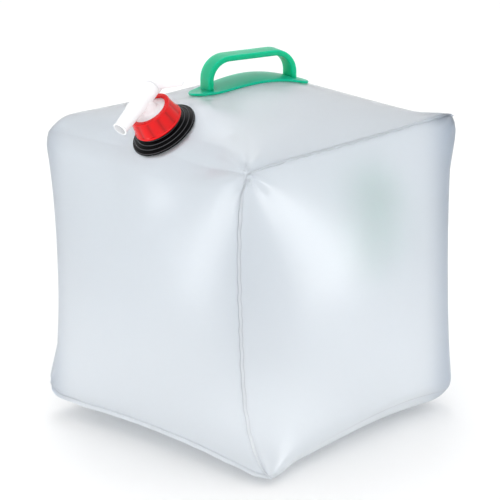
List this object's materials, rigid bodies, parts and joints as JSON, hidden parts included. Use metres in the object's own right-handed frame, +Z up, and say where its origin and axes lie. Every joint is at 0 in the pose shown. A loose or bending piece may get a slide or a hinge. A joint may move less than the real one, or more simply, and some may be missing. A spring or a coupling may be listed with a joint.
{
  "type": "water bag",
  "caption": "Collapsible cube water carrier of welded milky film, with a leaning screw neck, a lever tap under a closure ring and moulded arch handles.",
  "frame": {"origin": "on the floor under the middle of the filled cube", "axes": "+Z up, the front panel under the neck faces -Y, the right panel faces +X"},
  "size_m": [0.3052, 0.3509, 0.366],
  "materials": {
    "film": "milky translucent film, satin",
    "green_plastic": "satin moulded",
    "black_plastic": "satin moulded",
    "red_plastic": "satin moulded",
    "white_plastic": "satin moulded",
    "pale_rubber": "matte"
  },
  "bodies": {
    "bag": {"bag_upper_half": "film", "bag_lower_half": "film"},
    "top_fittings": {"neck_collar": "black_plastic", "neck_seal": "pale_rubber", "neck_backing_ring": "black_plastic", "top_handle": "green_plastic"},
    "rear_fitting": {"rear_handle": "green_plastic"},
    "gasket": {"tap_gasket": "pale_rubber"},
    "closure": {"closure_ring": "red_plastic"},
    "tap": {"tap_body": "white_plastic"},
    "key": {"tap_key": "white_plastic", "key_seal_upper": "pale_rubber", "key_seal_lower": "pale_rubber"}
  },
  "joints": [
    {"name": "bag_collapse", "type": "slide", "parent": "bag", "child": "top_fittings", "axis": [0, 0, -1], "range_m": [0, 0.08], "deforming": ["bag_upper_half", "bag_lower_half"]},
    {"name": "rear_handle_drop", "type": "slide", "parent": "bag", "child": "rear_fitting", "axis": [0, 0, -1], "range_m": [0, 0.052]},
    {"name": "tap_rise", "type": "slide", "parent": "top_fittings", "child": "gasket", "axis": [-0.0908, -0.5736, 0.8141], "range_m": [0, 0.0061]},
    {"name": "ring_turn", "type": "hinge", "parent": "gasket", "child": "closure", "pos_m": [0.00251, -0.12706, 0.3207], "axis": [-0.0908, -0.5736, 0.8141], "range_deg": [0, 540]},
    {"name": "tap_swivel", "type": "hinge", "parent": "gasket", "child": "tap", "pos_m": [0.00215, -0.12929, 0.32387], "axis": [-0.0908, -0.5736, 0.8141], "range_deg": [-180, 180]},
    {"name": "key_turn", "type": "hinge", "parent": "tap", "child": "key", "pos_m": [0.00064, -0.13887, 0.33747], "axis": [0.0636, -0.8192, -0.57], "range_deg": [0, 90]}
  ],
  "couplings": [
    {"joint": "rear_handle_drop", "follows": "bag_collapse", "ratio": 0.64},
    {"joint": "tap_rise", "follows": "ring_turn", "m_per_rad": 0.00063662}
  ]
}
